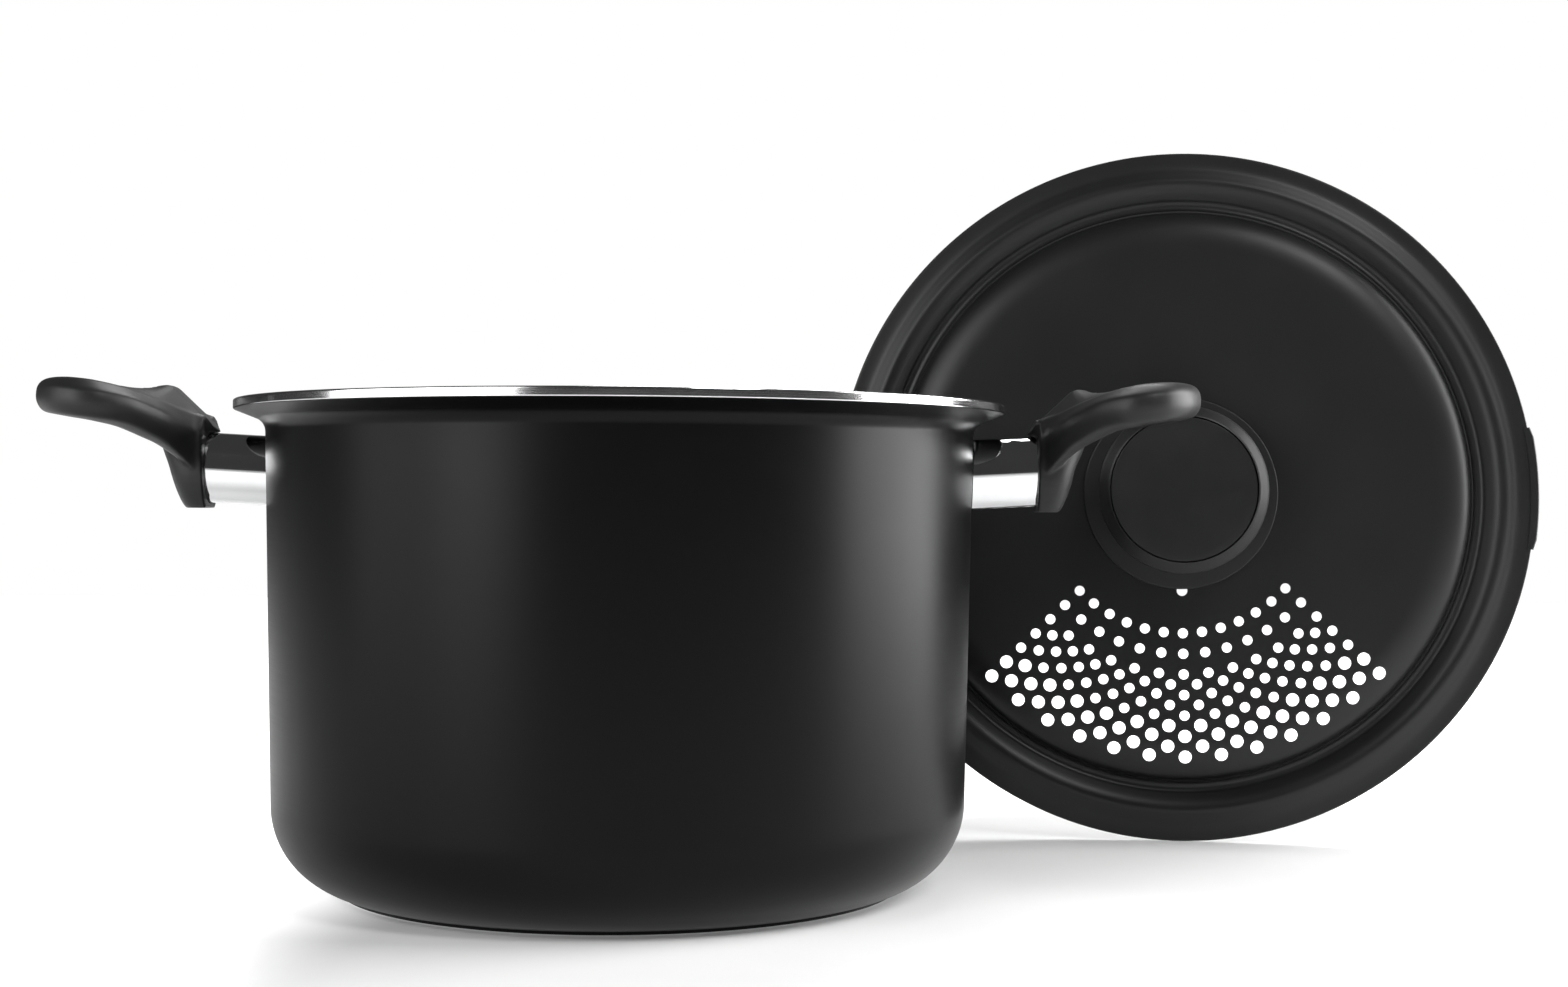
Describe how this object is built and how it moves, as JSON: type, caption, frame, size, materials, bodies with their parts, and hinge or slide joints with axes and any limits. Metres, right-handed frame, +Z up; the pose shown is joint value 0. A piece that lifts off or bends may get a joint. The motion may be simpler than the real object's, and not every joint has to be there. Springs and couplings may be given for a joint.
{
  "type": "cooking pot with strainer lid",
  "caption": "Deep black cooking pot with loop side handles on chrome sleeves and a lift-off lid with a knob and a fan of strainer holes, standing on its edge behind the pot.",
  "frame": {"origin": "centre of the flat underside of the base, on the pot's axis", "axes": "+Z up along the pot's axis, handles along +X and -X, the knob side of the standing lid towards -Y"},
  "size_m": [0.4975, 0.2412, 0.2462],
  "materials": {
    "black_coat": "matte",
    "black_phenolic": "satin",
    "chrome": "polished",
    "steel": "satin",
    "brass": "satin"
  },
  "bodies": {
    "pot": {"pot_body": "black_coat", "handle_stud_right": "steel", "ferrule_right": "chrome", "handle_grip_right": "black_phenolic", "handle_washer_right": "steel", "handle_screw_right": "steel", "handle_stud_left": "steel", "ferrule_left": "chrome", "handle_grip_left": "black_phenolic", "handle_washer_left": "steel", "handle_screw_left": "steel"},
    "lid": {"lid_plate": "black_coat", "knob_base": "black_phenolic", "knob_body": "black_phenolic", "knob_cap": "black_phenolic", "knob_insert": "brass", "knob_washer": "steel", "knob_screw": "steel"}
  },
  "joints": [
    {"name": "lid_lift", "type": "slide", "parent": "pot", "child": "lid", "axis": [0, 0, 1], "range_m": [0, 0.2]}
  ]
}
